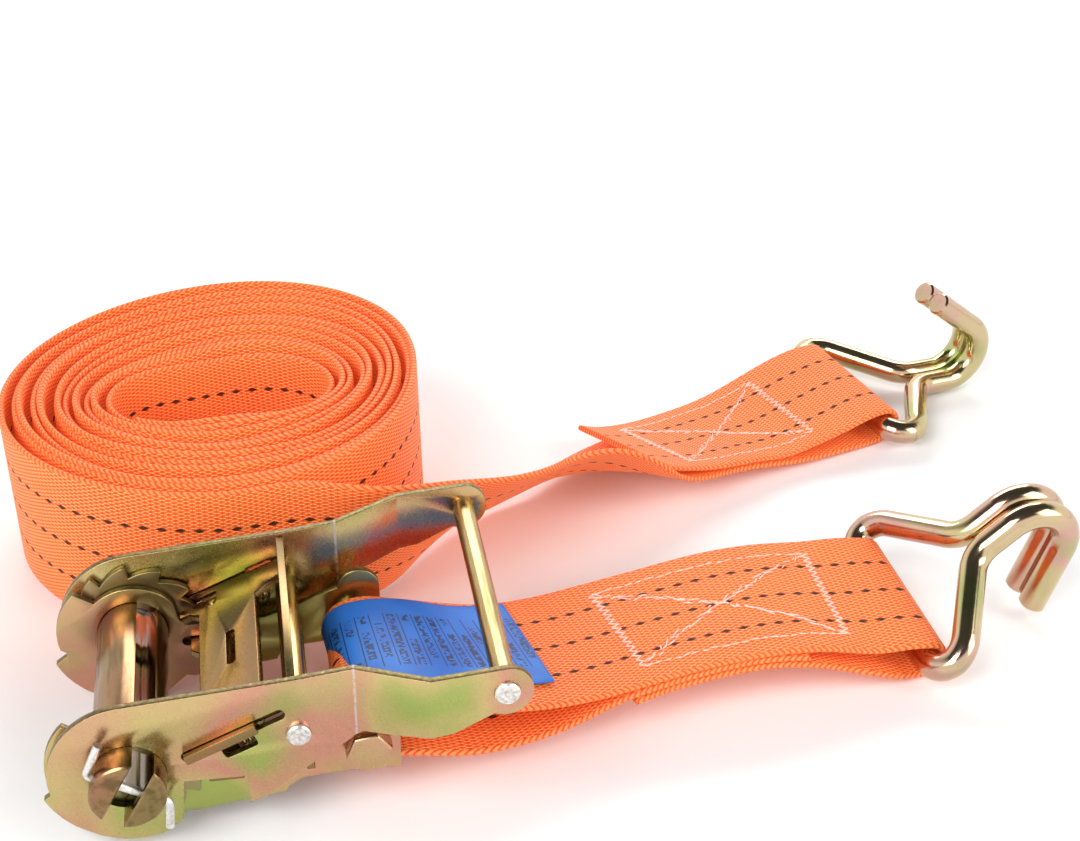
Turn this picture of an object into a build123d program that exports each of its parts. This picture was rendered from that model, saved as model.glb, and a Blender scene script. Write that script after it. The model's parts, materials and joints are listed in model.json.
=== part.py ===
"""Ratchet strap: a ratchet buckle for 50 mm webbing with a short fixed strap and a long loose strap,
each ending in a double-J hook. Millimetres; X runs from the spindle towards the grip, Z is up and the
strap lies on the plane z = 0."""

import os
from math import atan2, cos, degrees, hypot, radians, sin, tan

from build123d import *

os.makedirs("parts", exist_ok=True)

# ---- driving dimensions ------------------------------------------------------------------------
SPINDLE_Z = 23.5          # spindle axis above the ground, on the Y axis
PLATE_T = 2.0             # thickness of every stamped plate
FRAME_Y = 27.5            # inner face of each frame plate
WHEEL_Y = 30.0            # inner face of each ratchet wheel
HANDLE_Y = 32.5           # inner face of each handle plate beside the wheels
GRIP_Y = 42.0             # inner face of each handle plate at the grip
JOG_X = (57.0, 75.0)      # where the handle plates bend outwards

SPINDLE_R = 9.5
SPINDLE_BORE_R = 9.57
SPINDLE_HALF_LENGTH = 42.5
SLOT_W = 5.8              # webbing slot between the two halves of the spindle
SLOT_ANGLE = 61.0         # slot direction above +X
PIN_R = 1.15              # cotter pins
PIN_Y = 38.7

TEETH = 12
TIP_R = 19.0
ROOT_R = 15.6
TIP_ANGLE = 2.0           # one tooth tip, above +X

LOBE_R = 23.5             # lower lobe of a frame plate, which stands on the ground
BOLT_X, BOLT_Z = 59.8, SPINDLE_Z - 1.2
BOLT_R = 3.0
BOLT_AF = 10.5
SLEEVE_R = 5.5
TIE_X, TIE_Z = 42.4, SPINDLE_Z + 8.2
TIE_R = 3.0
BAR_X, BAR_Z = 93.5, SPINDLE_Z + 22.2
BAR_R = 3.0
RIVET_R = 2.2

PAWL_T = 2.6
PAWL_ANGLE = 23.4         # the drive pawl slides along this line in the handle plates
PAWL_FOOT = (13.4, SPINDLE_Z + 4.0)
PAWL_SLOT = (28.2, 3.2)
LOCK_Z = SPINDLE_Z - 4.9
LOCK_T = 2.5
LOCK_SLOT = (12.9, 34.5, 3.1)

WEBBING_W = 50.0
WEBBING_T = 2.0
WIRE_R = 4.0
NEAR_BAR = (217.5, 24.8, 10.2)     # middle of the near hook's base bar
NEAR_HEADING, NEAR_RISE, NEAR_ROLL = 7.2, 41.7, 7.4
FAR_BAR = (243.5, 155.9, 8.6)
FAR_HEADING, FAR_RISE, FAR_ROLL = 17.8, -4.5, 4.1

COIL_CENTRE = (27.0, 119.0)
COIL_RADII = (64.5, 67.0)
EYE_CENTRE = (28.0, 110.0)
EYE_RADII = (33.0, 20.0)


ORIGIN = Location((-131.264, -72.675, 0))      # moves the origin under the middle of the whole strap


def save(part, label):
    """Label a finished piece and write it in the object's own frame."""
    placed = part.moved(ORIGIN)
    placed.label = label
    export_step(placed, f"parts/{label}.step")


def polar(radius, angle):
    """A point on the spindle's side view, in the XZ plane with the spindle at (0, SPINDLE_Z)."""
    return radius * cos(radians(angle)), SPINDLE_Z + radius * sin(radians(angle))


def side_plane(y):
    """The XZ plane at this y, whose normal points along +Y."""
    return Plane(origin=(0, y, 0), x_dir=(1, 0, 0), z_dir=(0, -1, 0))


def rounded_path(points, radii):
    """Straight runs through these points, each inner corner rounded by its own tangent arc."""
    points = [Vector(*p) for p in points]
    start = points[0]
    for before, corner, after, radius in zip(points, points[1:], points[2:], radii):
        back, onward = (before - corner).normalized(), (after - corner).normalized()
        half = radians(back.get_angle(onward)) / 2
        middle = (back + onward).normalized()
        enter = corner + back * (radius / tan(half))
        leave = corner + onward * (radius / tan(half))
        Line(start, enter)
        ThreePointArc(enter, corner + middle * (radius / sin(half) - radius), leave)
        start = leave
    Line(start, points[-1])


def frame_outline():
    """A frame plate in side view: cam arc, two latch notches, foot lobe, bolt lug."""
    top = [polar(13.9, 34), polar(13.9, 84), polar(13.9, 134)]
    side = [polar(20.4, 143), polar(20.6, 168), polar(20.6, 192)]
    foot = [polar(LOBE_R, 202), polar(LOBE_R, 245), polar(LOBE_R, 286)]
    with BuildLine() as line:
        ThreePointArc(*top)
        Polyline(top[2], polar(20.2, 138), side[0])
        ThreePointArc(*side)
        Polyline(side[2], polar(19.2, 196), polar(19.6, 199), foot[0])
        ThreePointArc(*foot)
        rise = ThreePointArc(foot[2], (10.2, SPINDLE_Z - 18.9), (13.2, SPINDLE_Z - 16.4))
        lug = [(15.4, SPINDLE_Z - 16.9), (38.4, SPINDLE_Z - 13.8), (39.4, SPINDLE_Z - 12.0),
               (42.6, SPINDLE_Z - 9.9), (55.0, SPINDLE_Z - 8.9), (68.0, SPINDLE_Z - 9.6),
               (68.0, SPINDLE_Z + 7.5)]
        Polyline(rise @ 1, *lug)
        crown = ThreePointArc(lug[-1], (62.3, SPINDLE_Z + 13.6), (56.4, SPINDLE_Z + 8.4))
        Polyline(crown @ 1, (50.0, SPINDLE_Z + 6.2), (44.5, SPINDLE_Z + 3.6), (36.0, SPINDLE_Z + 0.9),
                 (14.6, SPINDLE_Z + 0.4), (12.6, SPINDLE_Z + 2.4), top[0])
    return line.line


def frame_plate(label, side):
    """A frame plate; side is -1 for the near one and +1 for the far one."""
    with BuildPart() as plate:
        with BuildSketch(side_plane(side * FRAME_Y)):
            with BuildLine():
                add(frame_outline())
            make_face()
            with Locations((0, SPINDLE_Z)):
                Circle(SPINDLE_BORE_R, mode=Mode.SUBTRACT)
            with Locations((BOLT_X, BOLT_Z)):
                Circle(BOLT_R + 0.05, mode=Mode.SUBTRACT)
            with Locations(((LOCK_SLOT[0] + LOCK_SLOT[1]) / 2, LOCK_Z)):
                SlotOverall(LOCK_SLOT[1] - LOCK_SLOT[0], LOCK_SLOT[2], mode=Mode.SUBTRACT)
            with Locations((SEAT_X, SEAT_Z)):
                Rectangle(SEAT_T, SEAT_TAB, mode=Mode.SUBTRACT)
        extrude(amount=-side * PLATE_T)
    save(plate.part, label)


def handle_plate(label, side):
    """A handle plate: side profile cut from a sheet that jogs outwards between beak and grip."""
    head = (0.8, SPINDLE_Z + 0.7)
    head_r = 20.5
    top_a, low_a = radians(93), radians(-68)
    with BuildPart() as plate:
        with BuildSketch(side_plane(0)):
            with BuildLine():
                start = (head[0] + head_r * cos(top_a), head[1] + head_r * sin(top_a))
                low = (head[0] + head_r * cos(low_a), head[1] + head_r * sin(low_a))
                ThreePointArc(start, (head[0] - head_r, head[1]), low)
                bottom = [(12.3, SPINDLE_Z - 14.9), (13.3, SPINDLE_Z - 3.2), (29.1, SPINDLE_Z - 3.4),
                          (29.2, SPINDLE_Z - 12.0), (33.0, SPINDLE_Z - 10.6), (43.2, SPINDLE_Z - 2.9),
                          (54.3, SPINDLE_Z + 4.4), (58.5, SPINDLE_Z + 7.9), (66.7, SPINDLE_Z + 8.8),
                          (80.4, SPINDLE_Z + 11.1), (90.3, BAR_Z - 6.1)]
                Polyline(low, *bottom)
                ThreePointArc(bottom[-1], (BAR_X + 6.6, BAR_Z - 0.8), (BAR_X + 1.0, BAR_Z + 7.0))
                Polyline((BAR_X + 1.0, BAR_Z + 7.0), (74.6, SPINDLE_Z + 27.4), (56.9, SPINDLE_Z + 26.4),
                         (42.0, SPINDLE_Z + 24.7), start)
            make_face()
            with Locations((0, SPINDLE_Z)):
                Circle(SPINDLE_BORE_R, mode=Mode.SUBTRACT)
            with Locations((TIE_X, TIE_Z), (BAR_X, BAR_Z)):
                Circle(RIVET_R, mode=Mode.SUBTRACT)
            middle = PAWL_SLOT[0] / 2
            with Locations((PAWL_FOOT[0] + middle * cos(radians(PAWL_ANGLE)),
                            PAWL_FOOT[1] + middle * sin(radians(PAWL_ANGLE)))):
                SlotOverall(PAWL_SLOT[0], PAWL_SLOT[1], rotation=PAWL_ANGLE, mode=Mode.SUBTRACT)
            window = 14.0
            with Locations((PAWL_FOOT[0] + window * cos(radians(PAWL_ANGLE)) + 3.3 * sin(radians(PAWL_ANGLE)),
                            PAWL_FOOT[1] + window * sin(radians(PAWL_ANGLE)) - 3.3 * cos(radians(PAWL_ANGLE)))):
                RectangleRounded(9.0, 4.6, 1.0, rotation=PAWL_ANGLE, mode=Mode.SUBTRACT)
        extrude(amount=60, both=True)
        with BuildSketch(Plane.XY.offset(-5)):
            with BuildLine():
                inner = [(-30, HANDLE_Y), (JOG_X[0], HANDLE_Y), (JOG_X[1], GRIP_Y), (110, GRIP_Y)]
                lean = atan2(GRIP_Y - HANDLE_Y, JOG_X[1] - JOG_X[0])
                shift = PLATE_T * tan(lean / 2)
                outer = [(110, GRIP_Y + PLATE_T), (JOG_X[1] - shift, GRIP_Y + PLATE_T),
                         (JOG_X[0] - shift, HANDLE_Y + PLATE_T), (-30, HANDLE_Y + PLATE_T)]
                Polyline(*[(x, side * y) for x, y in inner + outer], close=True)
            make_face()
        extrude(amount=80, mode=Mode.INTERSECT)
    save(plate.part, label)


# ---- frame --------------------------------------------------------------------------------------
SEAT_X, SEAT_Z, SEAT_T, SEAT_TAB = 45.0, SPINDLE_Z - 4.9, 2.0, 5.0

frame_plate("frame_plate_near", -1)
frame_plate("frame_plate_far", 1)

with BuildPart() as hex_bolt:
    with BuildSketch(side_plane(-FRAME_Y - PLATE_T)):
        with Locations((BOLT_X, BOLT_Z)):
            RegularPolygon(BOLT_AF / 2, 6, major_radius=False, rotation=8)
    extrude(amount=4.2)
    chamfer(hex_bolt.faces().sort_by(Axis.Y)[0].edges(), 0.5)
    with BuildSketch(side_plane(-FRAME_Y - PLATE_T)):
        with Locations((BOLT_X, BOLT_Z)):
            Circle(BOLT_R)
    extrude(amount=-(2 * (FRAME_Y + PLATE_T) + 6.3))
    chamfer(hex_bolt.faces().sort_by(Axis.Y)[-1].edges(), 0.5)
save(hex_bolt.part, "hex_bolt")

with BuildPart() as hex_nut:
    with BuildSketch(side_plane(FRAME_Y + PLATE_T)):
        with Locations((BOLT_X, BOLT_Z)):
            RegularPolygon(5.0, 6, major_radius=False, rotation=20)
            Circle(BOLT_R, mode=Mode.SUBTRACT)
    extrude(amount=-4.8)
save(hex_nut.part, "hex_nut")

with BuildPart() as bolt_sleeve:
    with BuildSketch(side_plane(FRAME_Y)):
        with Locations((BOLT_X, BOLT_Z)):
            Circle(SLEEVE_R)
            Circle(BOLT_R + 0.05, mode=Mode.SUBTRACT)
    extrude(amount=2 * FRAME_Y)
save(bolt_sleeve.part, "bolt_sleeve")

with BuildPart() as spring_seat:
    with BuildSketch(side_plane(FRAME_Y)):
        with Locations((SEAT_X, SEAT_Z)):
            Rectangle(SEAT_T, 9.0)
    extrude(amount=2 * FRAME_Y)
    with BuildSketch(side_plane(FRAME_Y + PLATE_T)):
        with Locations((SEAT_X, SEAT_Z)):
            Rectangle(SEAT_T, SEAT_TAB)
    extrude(amount=2 * (FRAME_Y + PLATE_T))
save(spring_seat.part, "spring_seat")

# ---- spindle, wheels and cotter pins -----------------------------------------------------------
SLOT_DIR = (cos(radians(SLOT_ANGLE)), sin(radians(SLOT_ANGLE)))
SLOT_NORMAL = (-SLOT_DIR[1], SLOT_DIR[0])


def spindle_half(label, side):
    """Half-round bar; side +1 lies on the slot normal's side."""
    with BuildPart() as half:
        with BuildSketch(side_plane(SPINDLE_HALF_LENGTH)):
            with Locations((0, SPINDLE_Z)):
                Circle(SPINDLE_R)
            reach = (SLOT_W / 2 + 15.0) * side
            with Locations((reach * SLOT_NORMAL[0], SPINDLE_Z + reach * SLOT_NORMAL[1])):
                Rectangle(60, 30, rotation=SLOT_ANGLE, mode=Mode.INTERSECT)
        extrude(amount=2 * SPINDLE_HALF_LENGTH)
        ends = half.faces().filter_by(Axis.Y).sort_by(Axis.Y)
        chamfer([edge for face in (ends[0], ends[-1]) for edge in face.edges()], 0.5)
        for y in (-PIN_Y, PIN_Y):
            with BuildSketch(Plane(origin=(0, y, SPINDLE_Z), x_dir=(SLOT_DIR[0], 0, SLOT_DIR[1]),
                                   z_dir=(SLOT_NORMAL[0], 0, SLOT_NORMAL[1]))):
                Circle(PIN_R)
            extrude(amount=20, both=True, mode=Mode.SUBTRACT)
    save(half.part, label)


def ratchet_wheel(label, side):
    """Twelve-tooth wheel keyed on the spindle by two tongues that stand in the webbing slot."""
    step = 360 / TEETH
    with BuildPart() as wheel:
        with BuildSketch(side_plane(side * WHEEL_Y)):
            with BuildLine():
                for tooth in range(TEETH):
                    tip = TIP_ANGLE - tooth * step
                    root = tip - 2.0
                    Line(polar(TIP_R, tip), polar(ROOT_R, root))
                    ThreePointArc(polar(ROOT_R, root), polar(ROOT_R + 2.1, root - 0.5 * step + 0.5),
                                  polar(TIP_R, tip - step + 3.0))
                    Line(polar(TIP_R, tip - step + 3.0), polar(TIP_R, tip - step))
            make_face()
            with Locations((0, SPINDLE_Z)):
                Circle(SPINDLE_R, mode=Mode.SUBTRACT)
            for end in (-1, 1):
                with Locations((end * 8.0 * SLOT_DIR[0], SPINDLE_Z + end * 8.0 * SLOT_DIR[1])):
                    Rectangle(3.8, SLOT_W - 0.02, rotation=SLOT_ANGLE)
        extrude(amount=-side * PLATE_T)
    save(wheel.part, label)


spindle_half("spindle_half_left", 1)
spindle_half("spindle_half_right", -1)
ratchet_wheel("ratchet_wheel_near", -1)
ratchet_wheel("ratchet_wheel_far", 1)

with BuildPart() as cotter_pins:
    for y in (-PIN_Y, PIN_Y):
        leg = SPINDLE_R + PIN_R + 0.35
        head_corner = (leg * SLOT_NORMAL[0], SPINDLE_Z + leg * SLOT_NORMAL[1])
        head = (head_corner[0] + 10 * SLOT_DIR[0] * 0.8, head_corner[1] + 10 * SLOT_DIR[1])
        tail_corner = (-leg * SLOT_NORMAL[0], SPINDLE_Z - leg * SLOT_NORMAL[1])
        tail = (tail_corner[0] - 0.6, tail_corner[1] - 8.0)
        with BuildLine() as pin_path:
            rounded_path([(x, y, z) for x, z in (head, head_corner, tail_corner, tail)], [1.4, 1.6])
        with BuildSketch(Plane(origin=pin_path.line @ 0, z_dir=pin_path.line % 0)):
            Circle(PIN_R)
        sweep(path=pin_path.line)
save(cotter_pins.part, "cotter_pins")

# ---- handle -------------------------------------------------------------------------------------
handle_plate("handle_plate_near", -1)
handle_plate("handle_plate_far", 1)


def riveted_rod(label, x, z, half_length, radius, head_radius):
    """A shouldered rod between two handle plates, its ends riveted over outside them."""
    with BuildPart() as rod:
        for length, r in ((half_length, radius), (half_length + PLATE_T, RIVET_R)):
            with BuildSketch(side_plane(length)):
                with Locations((x, z)):
                    Circle(r)
            extrude(amount=2 * length)
        for end in (-1, 1):
            with BuildSketch(side_plane(end * (half_length + PLATE_T))):
                with Locations((x, z)):
                    Circle(head_radius)
            extrude(amount=-end * 1.1)
        heads = rod.faces().filter_by(Axis.Y).sort_by(Axis.Y)
        chamfer([heads[0].edges(), heads[-1].edges()], 0.4)
    save(rod.part, label)


riveted_rod("tie_rod", TIE_X, TIE_Z, HANDLE_Y, TIE_R, 3.1)
riveted_rod("grip_bar", BAR_X, BAR_Z, GRIP_Y, BAR_R, 3.2)

# ---- drive pawl ---------------------------------------------------------------------------------
PAWL_PLANE = Plane(origin=(PAWL_FOOT[0], 0, PAWL_FOOT[1]),
                   x_dir=(cos(radians(PAWL_ANGLE)), 0, sin(radians(PAWL_ANGLE))),
                   z_dir=(-sin(radians(PAWL_ANGLE)), 0, cos(radians(PAWL_ANGLE))))
FLANGE_U = 30.2           # the finger flange stands here along the pawl

with BuildPart() as drive_pawl:
    with BuildSketch(PAWL_PLANE.offset(-PAWL_T / 2)):
        half = [(6.0, 0), (6.0, 21.7), (4.2, 22.8), (3.2, 24.0), (0.2, 24.2), (0.2, 27.0), (11.2, 27.0),
                (11.2, 29.9), (6.2, 29.9), (6.2, 32.2), (0.9, 32.2), (0.9, 36.3), (20.4, 36.3),
                (20.4, 31.8), (FLANGE_U, 31.8), (FLANGE_U, 24.5), (26.0, 23.2), (22.6, 20.6),
                (22.6, 0)]
        with BuildLine():
            Polyline(*half, *[(u, -v) for u, v in reversed(half[:-1])][:-1], close=True)
        make_face()
        with Locations((15.0, 1.0)):
            SlotOverall(15.0, 2.6, rotation=90, mode=Mode.SUBTRACT)
    extrude(amount=PAWL_T)
    flange_x = PAWL_FOOT[0] + FLANGE_U * cos(radians(PAWL_ANGLE))
    flange_z = PAWL_FOOT[1] + FLANGE_U * sin(radians(PAWL_ANGLE))
    with BuildSketch(side_plane(31.8)):
        with BuildLine():
            Polyline((flange_x - 0.6, flange_z - 1.4), (flange_x + 1.4, flange_z - 1.4),
                     (flange_x + 1.4, SPINDLE_Z + 23.9), (flange_x - 0.6, SPINDLE_Z + 23.9), close=True)
        make_face()
    extrude(amount=63.6)
    with BuildSketch(PAWL_PLANE.offset(PAWL_T / 2)):
        with Locations((10.0, 25.0), (10.0, -25.0)):
            Circle(1.3)
    extrude(amount=0.5, taper=30)
    with BuildSketch(PAWL_PLANE.offset(-PAWL_T / 2)):
        with Locations((12.4, 30.1), (12.4, -30.1)):
            Rectangle(1.6, 3.4)
    extrude(amount=-6.0)
save(drive_pawl.part, "drive_pawl")


def spring(label, starts, direction, turns, length, coil_r, wire_r):
    """Compression springs with the given ends, each a helical wire."""
    with BuildPart() as coils:
        for start in starts:
            with BuildLine():
                helix = Helix(pitch=length / turns, height=length, radius=coil_r, center=start,
                              direction=direction)
            with BuildSketch(Plane(origin=helix @ 0, z_dir=helix % 0)):
                Circle(wire_r)
            sweep(path=helix, is_frenet=True)
    save(coils.part, label)


spring_start = PAWL_PLANE.from_local_coords(Vector(14.6, 0, -PAWL_T / 2 - 3.6))
spring_dir = Vector(TIE_X - spring_start.X, 0, TIE_Z + 0.6 - spring_start.Z)
spring_len = spring_dir.length - TIE_R - 1.8
spring("drive_pawl_springs",
       [(spring_start.X, y, spring_start.Z) for y in (-30.1, 30.1)],
       spring_dir.normalized(), 6, spring_len, 1.8, 0.4)

# ---- lock pawl ----------------------------------------------------------------------------------
with BuildPart() as lock_pawl:
    with BuildSketch(Plane.XY.offset(LOCK_Z - LOCK_T / 2)):
        half = [(17.5, 0), (17.5, 20.0), (15.2, 21.6), (15.2, 29.6), (19.4, 29.6), (19.4, 32.1),
                (28.2, 32.1), (28.2, 27.2), (34.0, 27.2), (34.0, 0)]
        with BuildLine():
            Polyline(*half, *[(x, -y) for x, y in reversed(half[:-1])][:-1], close=True)
        make_face()
    extrude(amount=LOCK_T)
save(lock_pawl.part, "lock_pawl")

spring("lock_pawl_spring", [(34.8, 0, LOCK_Z)], (1, 0, 0), 4, SEAT_X - SEAT_T / 2 - 34.8 - 0.8, 2.9, 0.45)

# ---- hooks --------------------------------------------------------------------------------------
HALF_BAR = 31.0
LEG_GAP = WIRE_R + 0.15
BEND_X = 46.5             # first corner of the hook's bend, along the legs
BEND_R = 11.5
BEND_STEP = 48.9          # the bend turns three times by this angle
BEND_SIDE = 10.6
FINGER = 27.0


def level_axes(heading, roll):
    """Unit vectors along a heading and across it to the left, the left side raised by roll."""
    h, r = radians(heading), radians(roll)
    return Vector(cos(h), sin(h), 0), Vector(-sin(h) * cos(r), cos(h) * cos(r), sin(r))


def hook(label, bar, heading, rise, roll, up):
    """One bent wire: base bar, two legs that close together, and two parallel fingers.
    up is +1 where the fingers turn upwards and -1 where they turn down."""
    x, z = BEND_X, 0.0
    half = [(0, HALF_BAR, 0), (10, HALF_BAR - 1.5, 0), (28, LEG_GAP, 0), (x, LEG_GAP, z)]
    for turn in (1, 2):
        x += BEND_SIDE * cos(radians(turn * BEND_STEP))
        z += up * BEND_SIDE * sin(radians(turn * BEND_STEP))
        half.append((x, LEG_GAP, z))
    half.append((x + FINGER * cos(radians(3 * BEND_STEP)), LEG_GAP,
                 z + up * FINGER * sin(radians(3 * BEND_STEP))))
    ahead, across = level_axes(heading, roll)
    normal = (ahead * cos(radians(rise)) + Vector(0, 0, sin(radians(rise)))).cross(across)
    wire_plane = Plane(origin=bar, x_dir=across.cross(normal), z_dir=normal)
    points = [wire_plane.from_local_coords(Vector(*p)) for p in
              list(reversed(half)) + [(x, -y, z) for x, y, z in half]]
    radii = [BEND_R, BEND_R, BEND_R, 10.0, 10.0, 6.0]
    with BuildPart() as wire:
        with BuildLine() as path:
            rounded_path(points, radii + radii[::-1])
        with BuildSketch(Plane(origin=path.line @ 0, z_dir=path.line % 0)):
            Circle(WIRE_R)
        sweep(path=path.line)
        tips = [wire.faces().sort_by_distance(points[end])[0].edges() for end in (0, -1)]
        chamfer(tips, 0.6)
    save(wire.part, label)
    print(label, "volume", round(wire.part.volume), "bottom", round(wire.part.bounding_box().min.Z, 2))


hook("near_hook", NEAR_BAR, NEAR_HEADING, NEAR_RISE, NEAR_ROLL, -1)
hook("far_hook", FAR_BAR, FAR_HEADING, FAR_RISE, FAR_ROLL, 1)

# ---- straps -------------------------------------------------------------------------------------
LOOP_R = 0.4              # room between a bar and the webbing round it
EYE_W = 48.8              # webbing width where it passes between a hook's legs


def bar_plane(bar, heading, roll):
    """The plane square to a hook's bar at its middle, with X along the hook's heading."""
    ahead, across = level_axes(heading, roll)
    return Plane(origin=bar, x_dir=ahead, z_dir=across * -1)


def eye(bar_x, bar_z, core_r, meet_x, meet_z, half_t):
    """Side view of a webbing eye round a bar, closing on a double layer at (meet_x, meet_z)."""
    inner = core_r + LOOP_R
    outer = inner + WEBBING_T
    reach = hypot(meet_x - bar_x, meet_z - bar_z)
    lean = degrees(atan2(meet_z - bar_z, meet_x - bar_x))
    with Locations((bar_x, bar_z)):
        Circle(outer)
    with Locations(Location((bar_x, bar_z), lean)):
        Polygon((0, outer), (0, -outer), (reach, -half_t), (reach, half_t), align=None)
    with Locations((bar_x, bar_z)):
        Circle(inner, mode=Mode.SUBTRACT)
    with Locations(Location((bar_x, bar_z), lean)):
        Polygon((0, inner), (reach * 0.72, 0.0), (0, -inner), align=None, mode=Mode.SUBTRACT)


def rounded(x, y, z, roll, heading, width, thickness):
    """The plane of one webbing section: its width rolls from level, its normal follows the strap."""
    forward = Vector(cos(radians(heading)), sin(radians(heading)), 0)
    level = Vector(sin(radians(heading)), -cos(radians(heading)), 0)
    across = level * cos(radians(roll)) + Vector(0, 0, 1) * sin(radians(roll))
    return Plane(origin=(x, y, z), x_dir=across, z_dir=forward)


DOUBLE_T = 2 * WEBBING_T + 0.2
TRIPLE_T = 3 * WEBBING_T + 0.4

with BuildPart() as fixed_strap:
    with BuildSketch(side_plane(WEBBING_W / 2)):
        eye(BOLT_X, BOLT_Z, SLEEVE_R, 84.0, 19.6, TRIPLE_T / 2)
    extrude(amount=WEBBING_W)
    sections = [(83.5, 0, 19.6, 0), (104, 6.5, 15.4, 0), (119, 11.0, 14.0, 0), (147, 17.0, 15.2, 0),
                (168, 19.8, 16.6, 2), (188, 21.8, 15.6, 5), (200.4, 22.8, 13.4, 7.2)]
    for x, y, z, roll in sections:
        with BuildSketch(Plane(origin=(x, y, z), x_dir=(0, cos(radians(roll)), sin(radians(roll))),
                               z_dir=(1, 0, 0))):
            Rectangle(WEBBING_W, TRIPLE_T)
    loft(ruled=True)
    with BuildSketch(bar_plane(NEAR_BAR, NEAR_HEADING, NEAR_ROLL)):
        eye(0, 0, WIRE_R, -18.5, 3.2, TRIPLE_T / 2)
    extrude(amount=EYE_W / 2, both=True)
save(fixed_strap.part, "fixed_strap")

with BuildPart() as strap_label:
    for x, y, z in ((67.5, 4.5, 29.6), (84.6, 5.4, 23.8), (110.0, 13.0, 18.8)):
        with BuildSketch(Plane(origin=(x, y, z), x_dir=(0, 1, 0), z_dir=(1, 0, 0))):
            Rectangle(38.0, 0.6)
    loft(ruled=True)
save(strap_label.part, "strap_label")

with BuildPart() as long_strap_coil:
    with BuildSketch(Plane.XY):
        with Locations(COIL_CENTRE):
            Ellipse(*COIL_RADII)
        with Locations(EYE_CENTRE):
            Ellipse(*EYE_RADII, rotation=12, mode=Mode.SUBTRACT)
    extrude(amount=WEBBING_W)
save(long_strap_coil.part, "long_strap_coil")

with BuildPart() as long_strap:
    stations = [(52.0, 55.5, 25.0, 90, -6), (68.0, 56.4, 25.8, 73, 12), (86.0, 66.0, 23.2, 60, 28),
                (102.0, 80.0, 20.8, 45, 40), (118.0, 94.0, 18.4, 42, 38), (136.0, 103.8, 17.4, 37, 32),
                (150.0, 111.0, 11.8, 22, 32), (163.0, 119.5, 5.2, 7, 32), (178.0, 127.0, 2.9, 0, 20)]
    for x, y, z, roll, heading in stations:
        with BuildSketch(rounded(x, y, z, roll, heading, WEBBING_W, WEBBING_T)):
            Rectangle(WEBBING_W, WEBBING_T)
    loft(ruled=True)
    for x, y, z, roll in ((160.0, 123.6, 4.4, 2), (200.0, 140.4, 3.6, 0), (226.4, 150.4, 6.0, -3.8)):
        with BuildSketch(rounded(x, y, z, roll, 20, WEBBING_W, DOUBLE_T)):
            Rectangle(WEBBING_W, DOUBLE_T)
    loft(ruled=True)
    with BuildSketch(bar_plane(FAR_BAR, FAR_HEADING, FAR_ROLL)):
        eye(0, 0, WIRE_R, -19.0, -2.4, DOUBLE_T / 2)
    extrude(amount=EYE_W / 2, both=True)
save(long_strap.part, "long_strap")
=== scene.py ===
"""Looks of a ratchet strap: plated steel ratchet and hooks, and two woven straps with their seams.

Lengths in the shape code are millimetres on the ratchet's own axes, whose origin is on the ground under
the spindle; place() turns them into the frame's metres."""

import json
from math import ceil, cos, pi, radians, sin, tau

import bmesh
import bpy
import numpy as np
from mathutils import Matrix, Vector

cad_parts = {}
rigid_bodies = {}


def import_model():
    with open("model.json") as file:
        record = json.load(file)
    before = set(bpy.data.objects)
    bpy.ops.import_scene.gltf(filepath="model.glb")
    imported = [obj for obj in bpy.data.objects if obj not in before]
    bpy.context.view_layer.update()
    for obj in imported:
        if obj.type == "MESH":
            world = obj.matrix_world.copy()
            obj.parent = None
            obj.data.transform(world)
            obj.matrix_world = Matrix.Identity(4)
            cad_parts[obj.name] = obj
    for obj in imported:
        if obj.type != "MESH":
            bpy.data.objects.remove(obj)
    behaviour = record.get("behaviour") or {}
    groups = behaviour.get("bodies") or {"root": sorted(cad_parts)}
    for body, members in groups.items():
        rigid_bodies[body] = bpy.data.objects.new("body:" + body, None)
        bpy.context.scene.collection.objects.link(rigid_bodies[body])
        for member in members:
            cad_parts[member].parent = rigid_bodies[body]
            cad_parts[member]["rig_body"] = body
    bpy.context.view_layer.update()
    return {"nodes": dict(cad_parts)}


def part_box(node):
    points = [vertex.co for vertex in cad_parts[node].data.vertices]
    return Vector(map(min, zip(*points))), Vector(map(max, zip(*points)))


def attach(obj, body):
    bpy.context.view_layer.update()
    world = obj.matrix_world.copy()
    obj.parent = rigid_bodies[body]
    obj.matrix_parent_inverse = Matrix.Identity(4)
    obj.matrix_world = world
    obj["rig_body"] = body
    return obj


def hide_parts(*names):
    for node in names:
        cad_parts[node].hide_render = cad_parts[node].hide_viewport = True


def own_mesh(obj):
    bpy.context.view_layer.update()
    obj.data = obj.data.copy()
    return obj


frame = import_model()

WEBBING_W, WEBBING_T = 50.0, 1.8
EYE_W = 48.6                                # the webbing is squeezed a little between a hook's legs
LABEL_W, LABEL_T = 39.0, 0.5
LOOP_ROOM = 0.45                            # between a bar and the webbing round it
NEAR_BAR, NEAR_HEADING, NEAR_ROLL = (217.5, 24.8, 10.2), 7.2, 7.4
FAR_BAR, FAR_HEADING, FAR_ROLL = (243.5, 155.9, 8.6), 17.8, 4.1
WIRE_R, SLEEVE_R = 4.0, 5.5
BAR_WRAP = WIRE_R + LOOP_ROOM + WEBBING_T / 2       # from a hook bar's axis to the middle of the webbing
BOLT = (59.8, 0.0, 22.3)
SLEEVE_WRAP = SLEEVE_R + LOOP_ROOM + WEBBING_T / 2
BEND_LINE_X = 56.8                          # where the handle plates start to jog outwards


def ground_under_spindle():
    """Where the ratchet's own axes start, from the boxes of the two spindle halves."""
    lows, highs = zip(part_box("spindle_half_left"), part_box("spindle_half_right"))
    low = [min(c) for c in zip(*lows)]
    high = [max(c) for c in zip(*highs)]
    return np.array([(low[0] + high[0]) / 2, (low[1] + high[1]) / 2, 0.0])


HOME = ground_under_spindle()


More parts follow.
